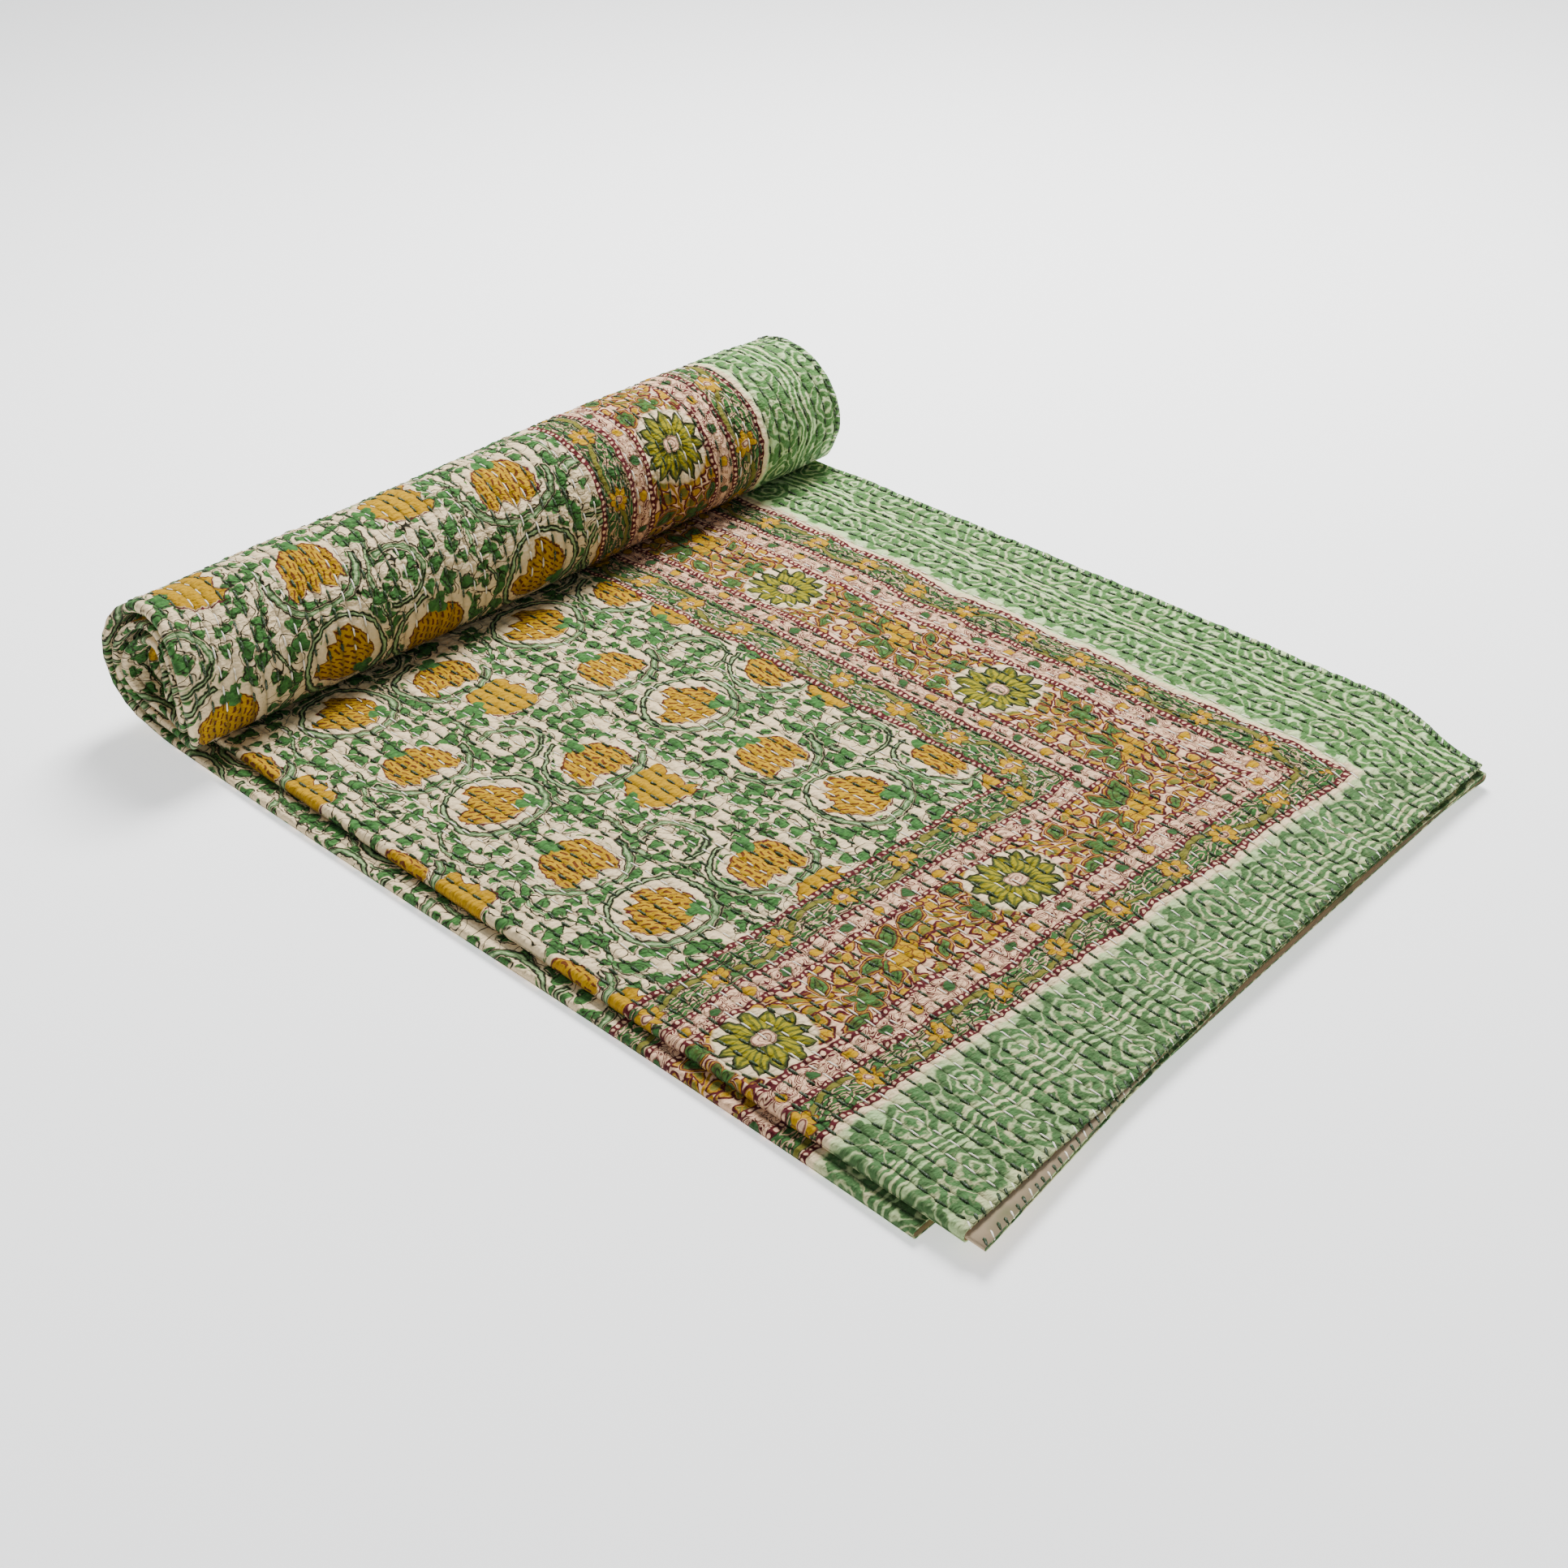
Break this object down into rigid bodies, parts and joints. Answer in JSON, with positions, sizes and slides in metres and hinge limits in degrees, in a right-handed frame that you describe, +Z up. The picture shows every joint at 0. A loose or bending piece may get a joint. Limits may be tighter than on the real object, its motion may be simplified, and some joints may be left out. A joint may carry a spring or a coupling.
{
  "type": "kantha quilt",
  "caption": "Block-printed, hand-stitched cotton quilt, doubled, folded back and forth across its width and rolled up from one end, with the other end laid flat.",
  "frame": {"origin": "centre of the footprint, on the surface that the quilt lies on", "axes": "+X from the roll along the flat strip to the hems at its front, Y across the strip along the roll's axis, +Z up"},
  "size_m": [0.798, 0.613, 0.1143],
  "materials": {
    "quilt_cotton": "block-printed voile cotton, face and back hand-quilted together with rows of running stitch"
  },
  "bodies": {
    "root": {"quilt": "quilt_cotton"}
  },
  "joints": []
}
